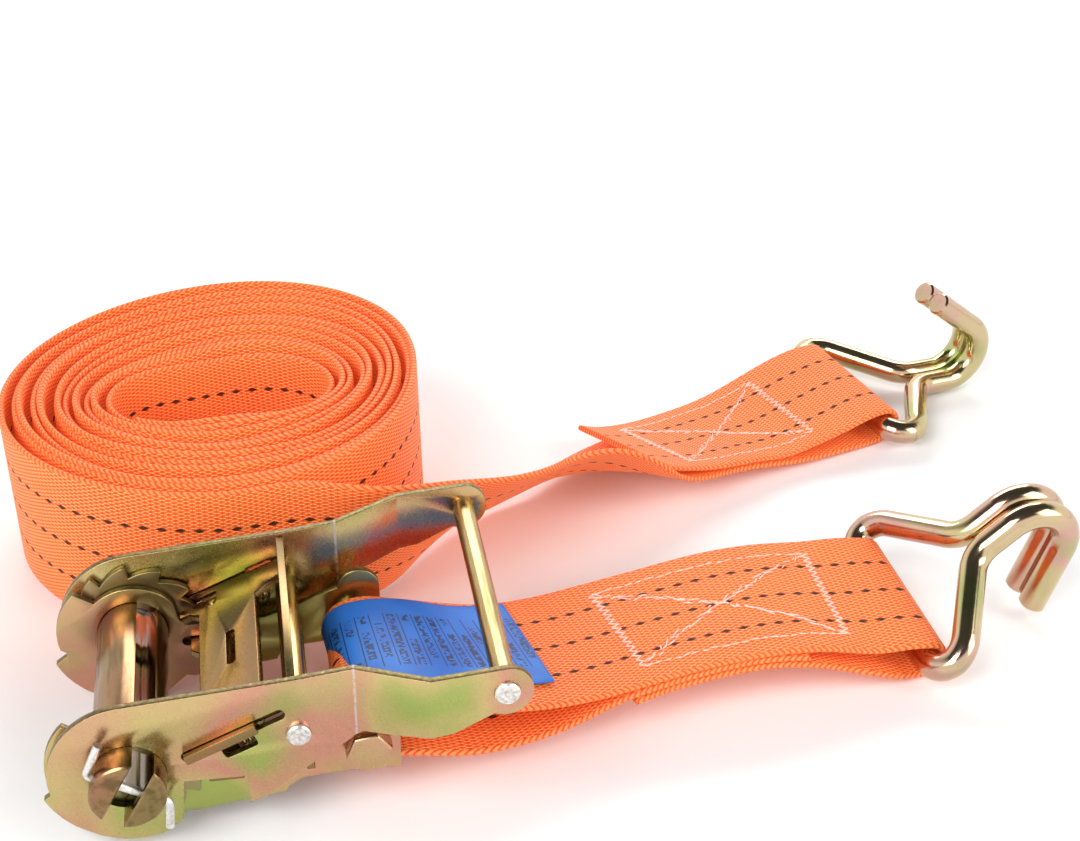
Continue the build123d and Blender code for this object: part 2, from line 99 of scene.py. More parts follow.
def place(points):
    """Points in the ratchet's millimetres as points of the frame."""
    return np.asarray(points, float) / 1000.0 + HOME


# ---- camera, light and floor ----------------------------------------------------------------------
def set_camera():
    camera = bpy.data.objects.new("camera", bpy.data.cameras.new("camera"))
    bpy.context.scene.collection.objects.link(camera)
    camera.data.lens = 64.15
    camera.data.sensor_width = 36.0
    camera.data.clip_start, camera.data.clip_end = 0.02, 20.0
    heading, tilt, roll = -9.379, 60.435, 0.2085
    turn = Matrix.Rotation(radians(heading), 4, "Z") @ Matrix.Rotation(radians(tilt), 4, "X")
    turn = turn @ Matrix.Rotation(radians(roll), 4, "Z")
    camera.matrix_world = Matrix.Translation(place((39.78, -416.31, 335.37))) @ turn
    bpy.context.scene.camera = camera


def soft_box(name, position, target, size, watts):
    lamp = bpy.data.objects.new(name, bpy.data.lights.new(name, "AREA"))
    bpy.context.scene.collection.objects.link(lamp)
    lamp.data.shape = "RECTANGLE"
    lamp.data.size, lamp.data.size_y = size
    lamp.data.energy = watts
    lamp.location = position
    lamp.rotation_mode = "QUATERNION"
    lamp.rotation_quaternion = (Vector(target) - Vector(position)).to_track_quat("-Z", "Y")


def set_studio():
    """Light all round the horizon and dark overhead, so that round steel shows a bright band."""
    world = bpy.data.worlds.new("studio")
    bpy.context.scene.world = world
    world.use_nodes = True
    sky = world.node_tree
    backdrop = sky.nodes["Background"]
    direction = sky.nodes.new("ShaderNodeTexCoord")
    parts = sky.nodes.new("ShaderNodeSeparateXYZ")
    fade = sky.nodes.new("ShaderNodeValToRGB")
    sky.links.new(direction.outputs["Generated"], parts.inputs[0])
    sky.links.new(parts.outputs["Z"], fade.inputs[0])
    sky.links.new(fade.outputs[0], backdrop.inputs["Color"])
    horizon, overhead = fade.color_ramp.elements
    horizon.position, horizon.color = 0.50, (1.0, 0.99, 0.97, 1)
    overhead.position, overhead.color = 0.66, (0.05, 0.05, 0.05, 1)
    backdrop.inputs["Strength"].default_value = 1.25
    soft_box("key", (-0.75, -0.85, 0.95), (0, 0, 0), (0.8, 0.8), 15.0)
    soft_box("fill", (0.95, -0.65, 0.65), (0.05, 0, 0), (0.6, 0.9), 7.0)
    soft_box("back", (0.15, 1.1, 0.85), (0, 0, 0), (1.2, 0.5), 11.0)


def lay_floor():
    bpy.ops.mesh.primitive_plane_add(size=6.0, location=(0, 0, -0.0002))
    floor = bpy.context.object
    floor.name = "floor"
    floor.data.materials.append(floor_paint("pale floor"))


# ---- materials ------------------------------------------------------------------------------------
class Wire:
    """A socket's value; arithmetic on it adds Math nodes to its material."""

    def __init__(self, finish, socket):
        self.finish, self.socket = finish, socket

    def _math(self, operation, *values):
        return self.finish.node("Math", {"operation": operation}, dict(enumerate(values)))

    def __add__(self, other):
        return self._math("ADD", self, other)

    __radd__ = __add__

    def __sub__(self, other):
        return self._math("SUBTRACT", self, other)

    def __rsub__(self, other):
        return self._math("SUBTRACT", other, self)

    def __mul__(self, other):
        return self._math("MULTIPLY", self, other)

    __rmul__ = __mul__

    def __truediv__(self, other):
        return self._math("DIVIDE", self, other)

    def __mod__(self, other):
        return self._math("FLOORED_MODULO", self, other)

    def __pow__(self, other):
        return self._math("POWER", self, other)

    def __abs__(self):
        return self._math("ABSOLUTE", self)

    def floor(self):
        return self._math("FLOOR", self)

    def at_least(self, other):
        return self._math("MAXIMUM", self, other)

    def rise(self, low, high):
        """0 below low and 1 above high, smoothly between; low may be the larger of the two."""
        return self.finish.node("MapRange", {"interpolation_type": "SMOOTHSTEP"},
                                {"Value": self, "From Min": low, "From Max": high})


class Finish:
    """A material with one Principled shader, whose other nodes come from node()."""

    def __init__(self, name, **constants):
        self.material = bpy.data.materials.new(name)
        self.material.use_nodes = True
        self.tree = self.material.node_tree
        self.shader = self.tree.nodes["Principled BSDF"]
        for key, value in constants.items():
            socket = key.replace("_", " ").title().replace("Ior", "IOR")
            self.shader.inputs[socket].default_value = value

    def node(self, kind, settings=None, sockets=None, out=0):
        """Adds a node with its settings, then the values or links of its sockets; gives one output."""
        made = self.tree.nodes.new("ShaderNode" + kind)
        for key, value in (settings or {}).items():
            if key == "stops":
                ramp = made.color_ramp.elements
                for spare in range(len(value) - 2):
                    ramp.new(0.5)
                for element, (position, colour) in zip(ramp, value):
                    element.position, element.color = position, (*colour, 1.0)
            else:
                setattr(made, key, value)
        for key, value in (sockets or {}).items():
            self.feed(made.inputs[key], value)
        return Wire(self, made.outputs[out])

    def feed(self, socket, value):
        """Links an output to a socket, or sets the socket to a number, a vector or an opaque colour."""
        if isinstance(value, Wire):
            self.tree.links.new(value.socket, socket)
        elif socket.type == "RGBA":
            socket.default_value = (*value, 1.0)
        else:
            socket.default_value = value

    def place(self):
        return self.node("TexCoord", out="Object")

    def axes(self, vector):
        """The three parts of a vector."""
        parts = self.node("SeparateXYZ", sockets={0: vector})
        return [Wire(self, output) for output in parts.socket.node.outputs]

    def noise(self, scale, detail=2.0, roughness=0.5, stretch=None):
        spot = self.place()
        if stretch:
            spot = self.node("VectorMath", {"operation": "MULTIPLY"}, {0: spot, 1: stretch})
        return self.node("TexNoise", sockets={"Vector": spot, "Scale": scale, "Detail": detail,
                                              "Roughness": roughness})

    def grid_chance(self, *cell):
        """A random number for each cell, from two or three whole numbers that count the cells."""
        spot = self.node("CombineXYZ", sockets=dict(enumerate(cell)))
        return self.node("TexWhiteNoise", {"noise_dimensions": f"{len(cell)}D"}, {"Vector": spot})

    def mix(self, share, first, second):
        return self.node("Mix", {"data_type": "RGBA"}, {0: share, 6: first, 7: second}, out=2)

    def ramp(self, value, *stops):
        return self.node("ValToRGB", {"stops": stops}, {0: value})

    def set(self, name, value):
        self.feed(self.shader.inputs[name], value)

    def relief(self, height, depth, strength):
        bump = self.node("Bump", sockets={"Strength": strength, "Distance": depth, "Height": height})
        self.set("Normal", bump)


def shade(colour, share):
    """A darker version of a colour."""
    return tuple(share * c for c in colour)


def chromate(name, palette, roughness, speckle=0.5, cut_edges=0.0, bends=False, streaks=None):
    """Yellow-passivated zinc: slow drifts between straw, rose and green under a fine grain.

    cut_edges darkens the sheared edges of a plate that faces along Y, bends draws the worn line where the
    handle plates are bent, and streaks is a stretch of the noise that darkens a turned bar."""
    straw, rose, green = palette
    finish = Finish(name, metallic=1.0)
    drift = finish.noise(34.0, 1.5, 0.45)
    second = finish.noise(61.0, 1.0, 0.4, stretch=(1.0, 1.0, 1.6))
    colour = finish.ramp(drift, (0.30, green), (0.44, straw), (0.58, rose), (0.72, green))
    colour = finish.mix(second.rise(0.42, 0.66) * 0.35, colour, straw)
    grain = finish.noise(2600.0, 3.0, 0.65)
    blotch = finish.noise(420.0, 4.0, 0.6)
    dirt = (grain - 0.5).rise(-0.12, 0.2) * 0.22 * speckle + (blotch.rise(0.5, 0.75)) * 0.12
    colour = finish.mix(dirt, colour, shade(straw, 0.55))
    height = grain * 0.5 + blotch * 0.5
    rough = roughness + (blotch - 0.5) * 0.14 + (grain - 0.5) * 0.08
    if cut_edges:
        facing = abs(finish.axes(finish.node("TexCoord", out="Normal"))[1])
        cut = facing.rise(0.85, 0.35)
        pits = finish.noise(900.0, 4.0, 0.7)
        olive = finish.ramp(pits, (0.35, (0.05, 0.04, 0.015)), (0.62, (0.20, 0.15, 0.06)),
                            (0.74, (0.38, 0.31, 0.17)))
        colour = finish.mix(cut * cut_edges, colour, olive)
        height = height + cut * pits * 1.5
        rough = rough + cut * 0.14
    if bends:
        x = finish.axes(finish.place())[0] - (HOME[0] + BEND_LINE_X / 1000.0)
        ragged = finish.noise(700.0, 3.0, 0.6)
        line = abs(x + (ragged - 0.5) * 0.0006).rise(0.00045, 0.0001) * ragged.rise(0.36, 0.5)
        colour = finish.mix(line * 0.6, colour, (0.62, 0.62, 0.60))
        rough = rough + line * 0.2
    if streaks:
        streak = finish.noise(300.0, 3.0, 0.6, stretch=streaks)
        colour = finish.mix(streak.rise(0.42, 0.68) * 0.6, colour, shade(straw, 0.28))
    finish.set("Base Color", colour)
    finish.set("Roughness", rough)
    finish.relief(height, 0.00003, 0.35)
    return finish.material


def bright_zinc(name):
    """Clear zinc with small nicks."""
    finish = Finish(name, metallic=1.0)
    nicks = finish.noise(900.0, 4.0, 0.6)
    finish.set("Base Color", finish.ramp(nicks, (0.3, (0.52, 0.51, 0.49)), (0.6, (0.80, 0.79, 0.77))))
    finish.set("Roughness", 0.24 + nicks * 0.2)
    finish.relief(nicks, 0.00004, 0.4)
    return finish.material


def rod_zinc(name, half_length):
    """A riveted rod: straw plating between the plates, its upset heads bare and bright outside them."""
    finish = Finish(name, metallic=1.0)
    across = finish.axes(finish.place())[1]
    head_at = half_length / 1000.0
    outside = abs(across - float(HOME[1])).rise(head_at - 0.0002, head_at + 0.0001)
    drawn = finish.noise(500.0, 3.0, 0.6, stretch=(1.0, 0.08, 1.0))
    straw = finish.ramp(drawn, (0.3, (0.20, 0.13, 0.05)), (0.55, (0.48, 0.34, 0.15)),
                        (0.75, (0.32, 0.22, 0.08)))
    hammered = finish.noise(1100.0, 3.0, 0.6)
    head = finish.ramp(hammered, (0.3, (0.42, 0.40, 0.37)), (0.6, (0.80, 0.77, 0.74)))
    finish.set("Base Color", finish.mix(outside, straw, head))
    finish.set("Roughness", 0.2 + outside * 0.12 + drawn * 0.12)
    finish.relief(drawn * (1 - outside) + hammered * outside * 3, 0.00004, 0.5)
    return finish.material


FLOAT_PITCH, YARN_ROW = 3.3, 0.62           # length of a float's repeat and width of one yarn
ROPE_PITCH = 1.9                            # of the twisted look of the selvedge
TRACER_PITCH, TRACER_OFFSETS = 5.3, (-12.5, 0.0, 12.5)


def bump_over(position, half):
    """1 in the middle of a repeat and 0 from half away, for a position that runs from -0.5 to 0.5."""
    return (1 - (position / half) ** 2).at_least(0.0)


def webbing_cloth(name):
    """Woven polyester: rows of short floats in cross columns, three dashed tracer yarns, roped edges."""
    # painted light: the webbing glows faintly in its own colour, standing in for light shining through the
    # cloth and bouncing between its layers
    finish = Finish(name, specular_ior_level=0.3, emission_strength=0.10)
    along, across, _ = finish.axes(finish.node("UVMap", {"uv_map": "weave"}))
    along, across = along * 1000.0, across * 1000.0
    row = (across / YARN_ROW).floor()
    in_float = ((along / FLOAT_PITCH + row * 0.5) % 1.0) - 0.5
    in_row = ((across / YARN_ROW) % 1.0) - 0.5
    float_yarn = bump_over(in_float, 0.40) * bump_over(in_row, 0.60)
    column = abs(((along / (FLOAT_PITCH / 2)) % 1.0) - 0.5).rise(0.30, 0.5)
    edge = abs(across).rise(23.9, 24.3)
    in_strand = ((along / ROPE_PITCH + across * 0.55) % 1.0) - 0.5
    rope = bump_over(in_strand, 0.46)
    fuzz = finish.noise(1500.0, 3.0, 0.7)
    patch = finish.noise(24.0, 2.0, 0.5)
    # painted highlight: the middle of each float is painted pale, standing in for the sheen of its yarn
    painted_sheen = float_yarn * (0.72 + fuzz * 0.5)
    body = finish.mix(painted_sheen.rise(0.15, 0.85) * 0.95, (0.95, 0.090, 0.003), (1.0, 0.45, 0.16))
    # painted shade: the cross columns, the recessed gaps between floats, are painted a deeper orange
    body = finish.mix(column * 0.6, body, (0.74, 0.050, 0.003))
    # painted highlight and shade: on the roped edges each strand's crest is painted lighter and the groove
    # between strands darker
    roped = finish.mix(rope * (0.6 + fuzz * 0.5), (0.72, 0.060, 0.005), (1.0, 0.30, 0.09))
    body = finish.mix(edge, body, roped)
    body = finish.mix(patch.rise(0.35, 0.7) * 0.14, body, (1.0, 0.24, 0.05))
    from_dash = abs(((along / TRACER_PITCH) % 1.0) - 0.5) * TRACER_PITCH
    tracers = None
    for offset in TRACER_OFFSETS:
        yarn = ((1.9 - from_dash) * 0.42 - abs(across - offset)).rise(-0.08, 0.10)
        tracers = yarn if tracers is None else tracers.at_least(yarn)
    body = finish.mix(tracers * 0.95, body, (0.022, 0.006, 0.005))
    finish.set("Base Color", body)
    # painted glow: the cloth's colour is also its emission
    finish.set("Emission Color", body)
    finish.set("Roughness", 0.62 - painted_sheen * 0.18 + tracers * 0.1)
    weave = float_yarn * (1 - edge) + rope * edge + fuzz * 0.12 - column * 0.25 + tracers * 0.2
    finish.relief(weave, 0.00032, 0.9)
    return finish.material


def sewing_thread(name):
    """Twisted white thread with a painted orange reflection: light bounced from the webbing, painted into its
    colour.
    """
    finish = Finish(name, specular_ior_level=0.4)
    twist = finish.noise(1800.0, 2.0, 0.6)
    # painted reflection: both colours of the twist carry the orange light bounced from the webbing
    finish.set("Base Color", finish.ramp(twist, (0.35, (0.95, 0.45, 0.34)), (0.62, (0.97, 0.72, 0.66))))
    finish.set("Roughness", 0.5 + twist * 0.2)
    finish.relief(twist, 0.00012, 0.6)
    return finish.material


LINE_PITCH = 4.1                            # of the label's ruled lines
MARK_PITCH, WORD_LENGTH = 1 / 1.35, 5.2     # of its print, across the strap
CLOTH_PITCH = 0.35


def label_cloth(name):
    """Blue coated cloth with ruled columns and rows of unreadable print."""
    finish = Finish(name, specular_ior_level=0.45)
    along, across, _ = finish.axes(finish.node("UVMap", {"uv_map": "weave"}))
    along, across = along * 1000.0, across * 1000.0
    line = (along / LINE_PITCH).floor()
    in_line = (along / LINE_PITCH) % 1.0
    rule = abs(in_line - 0.05).rise(0.045, 0.025) * abs(across).rise(15.5, 15.2)
    tall = abs(in_line - 0.52).rise(0.27, 0.24)
    marks = finish.grid_chance(line * 7.3, (across / MARK_PITCH).floor(), (in_line * 5.0).floor())
    words = finish.grid_chance(line * 3.1, (across / WORD_LENGTH).floor())
    printed = marks.rise(0.42, 0.46) * tall * abs(across).rise(15.0, 14.7) * words.rise(0.22, 0.24)
    printed = printed * (((across / MARK_PITCH) % 1.0) - 0.12).rise(0.0, 0.05)
    ink = rule.at_least(printed * 0.95)
    lengthwise = abs(((along / CLOTH_PITCH) % 1.0) - 0.5)
    weave = lengthwise * abs(((across / CLOTH_PITCH) % 1.0) - 0.5) * 4
    worn = finish.noise(60.0, 2.0, 0.5)
    blue = finish.mix(worn.rise(0.3, 0.7), (0.008, 0.130, 0.56), (0.012, 0.185, 0.70))
    finish.set("Base Color", finish.mix(ink, blue, (0.006, 0.010, 0.035)))
    finish.set("Roughness", 0.46 + weave * 0.12)
    finish.relief(weave, 0.00006, 0.5)
    return finish.material


def floor_paint(name):
    finish = Finish(name, roughness=0.85)
    finish.set("Base Color", (0.93, 0.93, 0.93))
    return finish.material


# ---- woven bands ----------------------------------------------------------------------------------
def curve_through(stations, step):
    """Rows of numbers, about step apart, along the natural cubic curve through the given rows."""
    rows = np.asarray(stations, float)
    gap = np.linalg.norm(np.diff(rows[:, :3], axis=0), axis=1)
    knot = np.r_[0.0, np.cumsum(gap)]
    count = len(rows)
    system, pull = np.eye(count), np.zeros_like(rows)
    for i in range(1, count - 1):
        system[i, i - 1:i + 2] = gap[i - 1], 2 * (gap[i - 1] + gap[i]), gap[i]
        pull[i] = 6 * ((rows[i + 1] - rows[i]) / gap[i] - (rows[i] - rows[i - 1]) / gap[i - 1])
    bend = np.linalg.solve(system, pull)
    at = np.linspace(0, knot[-1], ceil(knot[-1] / step) + 1)
    i = np.clip(np.searchsorted(knot, at, side="right") - 1, 0, count - 2)
    h, left = gap[i][:, None], (at - knot[i])[:, None]
    right = h - left
    return ((bend[i] * right**3 + bend[i + 1] * left**3) / (6 * h)
            + (rows[i] / h - bend[i] * h / 6) * right + (rows[i + 1] / h - bend[i + 1] * h / 6) * left)


def unit(rows):
    return rows / np.linalg.norm(rows, axis=1)[:, None]


class Band:
    """A strip along rows of (x, y, z, across x, y, z, width), with axes of its own at every row."""

    def __init__(self, rows):
        self.middle, self.width = rows[:, :3], rows[:, 6]
        self.forward = unit(np.gradient(self.middle, axis=0))
        across = rows[:, 3:6]
        across = across - (across * self.forward).sum(1)[:, None] * self.forward
        self.across = unit(across)
        self.face = np.cross(self.across, self.forward)
        self.run = np.r_[0.0, np.cumsum(np.linalg.norm(np.diff(self.middle, axis=0), axis=1))]
        self.length = float(self.run[-1])

    def point(self, run, across, lift):
        """A point at this length along the strip, this far across it and this far off its middle."""
        at = [np.interp(run, self.run, column) for column in
              np.hstack([self.middle, self.across, self.face]).T]
        middle, side, up = np.array(at[:3]), np.array(at[3:6]), np.array(at[6:])
        return middle + side * across + up * lift

    def mesh(self, name, thickness, parts=14, turns=5):
        """The strip as a closed mesh with round edges: parts across each face, turns round each edge."""
        half, r = WEBBING_W / 2 - thickness / 2, thickness / 2
        flat = np.linspace(-half, half, parts + 1)
        bow = np.linspace(0, pi, turns + 1)[1:-1]
        nearest = np.minimum(bow, pi - bow)
        sideways = np.r_[flat, half + r * np.sin(bow), flat[::-1], -half - r * np.sin(bow)]
        lift = np.r_[np.full(parts + 1, r), r * np.cos(bow), np.full(parts + 1, -r), -r * np.cos(bow)]
        cloth_across = np.r_[flat, half + r * nearest, flat[::-1], -half - r * nearest]
        count, corners = len(self.middle), len(sideways)
        squeeze = (self.width / WEBBING_W)[:, None, None]
        points = (self.middle[:, None] + self.across[:, None] * sideways[None, :, None] * squeeze
                  + self.face[:, None] * lift[None, :, None]).reshape(-1, 3)
        i, j = np.meshgrid(np.arange(count - 1), np.arange(corners), indexing="ij")
        k = (j + 1) % corners
        quads = np.stack([i * corners + j, i * corners + k, (i + 1) * corners + k, (i + 1) * corners + j], -1)
        start_cap, end_cap = list(range(corners))[::-1], [(count - 1) * corners + j for j in range(corners)]
        mesh = bpy.data.meshes.new(name)
        mesh.from_pydata(place(points).tolist(), [], quads.reshape(-1, 4).tolist() + [start_cap, end_cap])
        weave = mesh.uv_layers.new(name="weave")
        corner = np.zeros(len(mesh.loops), np.int32)
        mesh.loops.foreach_get("vertex_index", corner)
        uv = np.stack([np.repeat(self.run, corners), np.tile(cloth_across, count)], -1) / 1000.0
        weave.data.foreach_set("uv", uv[corner].astype(np.float32).ravel())
        outward(mesh)
        mesh.polygons.foreach_set("use_smooth", [True] * (len(mesh.polygons) - 2) + [False] * 2)
        return mesh


def outward(mesh):
    """Turns every face of a closed mesh outwards."""
    shape = bmesh.new()
    shape.from_mesh(mesh)
    bmesh.ops.recalc_face_normals(shape, faces=shape.faces)
    shape.to_mesh(mesh)
    shape.free()


def add_piece(name, mesh, material, body):
    """An object of the finished mesh that moves with this body."""
    piece = bpy.data.objects.new(name, mesh)
    bpy.context.scene.collection.objects.link(piece)
    mesh.materials.clear()
    mesh.materials.append(material)
    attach(piece, body)
    return piece


def level(heading, roll=0.0):
    """The direction across a strip with this plan heading, its right-hand edge rolled up by roll."""
    h, r = radians(heading), radians(roll)
    return sin(h) * cos(r), -cos(h) * cos(r), sin(r)


def flat_stations(rows):
    """Full-width stations from rows of (x, y, z, roll, heading)."""
    return [(x, y, z, *level(heading, roll), WEBBING_W) for x, y, z, roll, heading in rows]


def wrap(centre, heading, roll, radius, angles, width):
    """Stations round a bar whose left end is raised by roll; angle 0 points along the heading."""
    h, r = radians(heading), radians(roll)
    ahead, upward = np.array([cos(h), sin(h), 0.0]), np.array([sin(h) * sin(r), -cos(h) * sin(r), cos(r)])
    stations = []
    for angle in angles:
        spot = np.array(centre) + radius * (cos(radians(angle)) * ahead + sin(radians(angle)) * upward)
        stations.append((*spot, *level(heading, -roll), width))
    return stations


# ---- the long strap: coil, twist, double end ------------------------------------------------------
TURNS, STEPS_PER_TURN = 15, 34
OUTER_C, OUTER_R = (27.0, 119.0), (63.0, 70.5, 66.5, 64.0, 65.5, 66.5, 65.5, 64.5)
INNER_C, INNER_R = (28.0, 110.0), (33.0, 29.0, 22.0, 25.0, 33.0, 24.0, 17.0, 21.0)
FIRST_ANGLE, LAST_ANGLE = radians(205), radians(270)
SLACK, SLACK_ANGLE = 2.4, radians(190)      # the loose side of the coil, away from the hooks


def ring(radii, angle):
    """A closed smooth curve's radius at this angle, through radii at the eight compass points."""
    wave = np.fft.rfft(np.array(radii)) / 8
    value = wave[0].real
    for order in (1, 2, 3):
        turned = order * angle
        value = value + 2 * (wave[order].real * np.cos(turned) - wave[order].imag * np.sin(turned))
    return value + wave[4].real * np.cos(4 * angle)


def coil_stations():
    """The wound part from its inner end outwards, its outermost turn ending at the front."""
    stations = []
    sweep = tau * TURNS + LAST_ANGLE - FIRST_ANGLE
    count = STEPS_PER_TURN * TURNS
    for step in range(count + 1):
        share = step / count
        angle = FIRST_ANGLE + sweep * step / count
        inner, outer = ring(INNER_R, angle), ring(OUTER_R, angle)
        packed = share ** 0.94
        slack = SLACK * max(0.0, cos(angle - SLACK_ANGLE)) ** 2
        under_last_turn = 1 / (1 + np.exp(-(0.905 - share) * 90))
        slack = slack * under_last_turn * min(1.0, share / 0.45)
        r = inner + (outer - inner) * packed - slack + 0.35 * sin(angle * 2.37 + 1.0)
        x = INNER_C[0] + (OUTER_C[0] - INNER_C[0]) * packed + r * cos(angle)
        y = INNER_C[1] + (OUTER_C[1] - INNER_C[1]) * packed + r * sin(angle)
        z = 26.9 + 0.9 * sin(angle * 0.61) + 0.5 * sin(angle * 2.9)
        lean = 0.045 * sin(angle * 0.37 + 2.0) + 0.012
        stations.append((x, y, z, lean * cos(angle), lean * sin(angle), 1.0, WEBBING_W))
    return stations


def long_strap_stations():
    """The coil, the tail that rolls from upright to flat, the far hook's eye and the sewn-back end."""
    tail = [(50.0, 54.8, 26.2, 88, -2), (68.0, 56.0, 26.2, 73, 12), (86.0, 66.0, 23.2, 60, 28),
            (102.0, 80.0, 20.8, 45, 40), (118.0, 94.0, 18.3, 42, 38), (136.0, 103.6, 17.9, 38, 31),
            (146.0, 109.0, 13.8, 30, 32), (154.0, 114.5, 10.0, 18, 33), (163.0, 120.5, 7.4, 11, 31),
            (176.0, 128.4, 5.6, 8, 27), (190.0, 135.2, 4.4, 6, 23), (204.0, 141.2, 3.2, 2, 21),
            (216.0, 146.0, 2.8, -1, 20), (230.0, 151.3, 3.2, -3.5, 18)]
    back = [(230.0, 151.0, 12.2, -3.5, 18), (216.0, 146.3, 8.4, -1, 20), (204.0, 141.5, 6.2, 2, 21),
            (190.0, 135.6, 6.7, 6, 23), (176.0, 129.2, 8.2, 8, 25), (166.0, 124.8, 10.4, 9.5, 24),
            (160.0, 122.2, 12.4, 10, 24), (156.0, 120.6, 14.2, 10, 24)]
    eye = wrap(FAR_BAR, FAR_HEADING, FAR_ROLL, BAR_WRAP, (-88, -50, -12, 26, 62, 92), EYE_W)
    return coil_stations() + flat_stations(tail) + eye + flat_stations(back)


def thinned(rows, count, keep):
    """The rows with only every keep-th of the first count left."""
    return np.vstack([rows[:count:keep], rows[count:]])


# ---- seams ----------------------------------------------------------------------------------------
def stitch_tree(material):
    """Thread laid over each loose edge of the input: arched, thick in the middle, thin at its ends."""
    tree = bpy.data.node_groups.new("sewn stitches", "GeometryNodeTree")
    face = tree.interface
    face.new_socket("Geometry", in_out="INPUT", socket_type="NodeSocketGeometry")
    face.new_socket("Thread Radius", in_out="INPUT", socket_type="NodeSocketFloat")
    face.new_socket("Geometry", in_out="OUTPUT", socket_type="NodeSocketGeometry")

    def add(kind, **settings):
        node = tree.nodes.new(kind)
        for key, value in settings.items():
            setattr(node, key, value)
        return node

    def join(source, output, target, socket):
        tree.links.new(source.outputs[output], target.inputs[socket])

    given, made = add("NodeGroupInput"), add("NodeGroupOutput")
    curves = add("GeometryNodeMeshToCurve")
    fine = add("GeometryNodeResampleCurve")
    fine.inputs["Count"].default_value = 6
    share = add("GeometryNodeSplineParameter")
    arch = add("ShaderNodeMath", operation="MULTIPLY")
    arch.inputs[1].default_value = pi
    swell = add("ShaderNodeMath", operation="SINE")
    full = add("ShaderNodeMapRange")
    full.inputs["To Min"].default_value = 0.35
    radius = add("GeometryNodeSetCurveRadius")
    profile = add("GeometryNodeCurvePrimitiveCircle", mode="RADIUS")
    profile.inputs["Resolution"].default_value = 6
    tube = add("GeometryNodeCurveToMesh")
    tube.inputs["Fill Caps"].default_value = True
    smooth = add("GeometryNodeSetShadeSmooth")
    real = add("GeometryNodeRealizeInstances")
    paint = add("GeometryNodeSetMaterial")
    paint.inputs["Material"].default_value = material
    join(given, "Geometry", curves, "Mesh")
    join(curves, "Curve", fine, "Curve")
    join(share, "Factor", arch, 0)
    join(arch, 0, swell, 0)
    join(swell, 0, full, "Value")
    join(fine, "Curve", radius, "Curve")
    join(full, "Result", radius, "Radius")
    join(given, "Thread Radius", profile, "Radius")
    join(radius, "Curve", tube, "Curve")
    join(profile, "Curve", tube, "Profile Curve")
    join(full, "Result", tube, "Scale")
    join(tube, "Mesh", smooth, "Geometry")
    join(smooth, "Geometry", real, "Geometry")
    join(real, "Geometry", paint, "Geometry")
    join(paint, "Geometry", made, "Geometry")
    return tree


def baked(holder, name):
    """The mesh that an object's modifiers give; the object itself is removed."""
    graph = bpy.context.evaluated_depsgraph_get()
    mesh = bpy.data.meshes.new_from_object(holder.evaluated_get(graph))
    mesh.name = name
    bpy.data.objects.remove(holder)
    return mesh


def sewn(name, stitches, radius, material, body):
    """A piece with a thread over every (start, end) pair of points, in the ratchet's millimetres."""
    ends = place([point for stitch in stitches for point in stitch])
    mesh = bpy.data.meshes.new(name)
    mesh.from_pydata(ends.tolist(), [(2 * k, 2 * k + 1) for k in range(len(stitches))], [])
    holder = bpy.data.objects.new(name + "_lines", mesh)
    bpy.context.scene.collection.objects.link(holder)
    tree = stitch_tree(material)
    modifier = holder.modifiers.new("stitches", "NODES")
    modifier.node_group = tree
    for item in tree.interface.items_tree:
        if item.item_type == "SOCKET" and item.in_out == "INPUT" and item.name == "Thread Radius":
            modifier[item.identifier] = radius / 1000.0
    result = baked(holder, name)
    outward(result)
    return add_piece(name, result, material, body)


THREAD_R = 0.25
STITCH_PITCH, STITCH_SHARE = 3.0, 0.86      # of a running seam: its repeat, and how much of it is thread
TACK_W, TACK_PITCH = 2.6, 1.15


def seam(band, start, end, lift, wander, seed):
    """A running seam between two (run, across) points of a band."""
    start, end = np.array(start, float), np.array(end, float)
    count = max(1, round(float(np.linalg.norm(end - start)) / STITCH_PITCH))
    chance = np.random.default_rng(seed)
    stitches = []
    for k in range(count):
        ends = []
        for share in ((k + (1 - STITCH_SHARE) / 2) / count, (k + (1 + STITCH_SHARE) / 2) / count):
            run, across = start + (end - start) * share + chance.normal(0, wander, 2)
            ends.append(band.point(run, across, lift))
        stitches.append(ends)
    return stitches


def bar_tack(band, run, half, lift, seed):
    """A close zigzag across a band at this length along it."""
    chance = np.random.default_rng(seed)
    corners = [(run + (TACK_W / 2 if k % 2 else -TACK_W / 2) + chance.normal(0, 0.15), across)
               for k, across in enumerate(np.arange(-half, half, TACK_PITCH))]
    return [(band.point(*a, lift), band.point(*b, lift)) for a, b in zip(corners, corners[1:])]


def box_and_cross(band, first, last, half, lift, seed):
    """A box seam with a tack at each end and two doubled diagonals."""
    stitches = bar_tack(band, first, half, lift, seed) + bar_tack(band, last, half, lift, seed + 1)
    for k, side in enumerate((-1, 1)):
        edge, inset = side * half, side * (half - 1.5)
        stitches += seam(band, (first, edge), (last, edge), lift, 0.25, seed + 2 + k)
        stitches += seam(band, (first, edge), (last, -edge), lift, 0.45, seed + 4 + k)
        stitches += seam(band, (first + 2, inset), (last - 1, -side * (half - 2.0)), lift, 0.6, seed + 6 + k)
    return stitches


# ---- plated parts with broken edges ---------------------------------------------------------------
def merged_copy(node, name, flatten):
    """A copy of a CAD node's mesh with its loose triangles joined up, and its flat faces too if asked."""
    shape = bmesh.new()
    shape.from_mesh(frame["nodes"][node].data)
    bmesh.ops.remove_doubles(shape, verts=shape.verts, dist=2e-6)
    if flatten:
        bmesh.ops.dissolve_limit(shape, angle_limit=radians(0.6), verts=shape.verts, edges=shape.edges)
    bmesh.ops.recalc_face_normals(shape, faces=shape.faces)
    mesh = bpy.data.meshes.new(name)
    shape.to_mesh(mesh)
    shape.free()
    return mesh


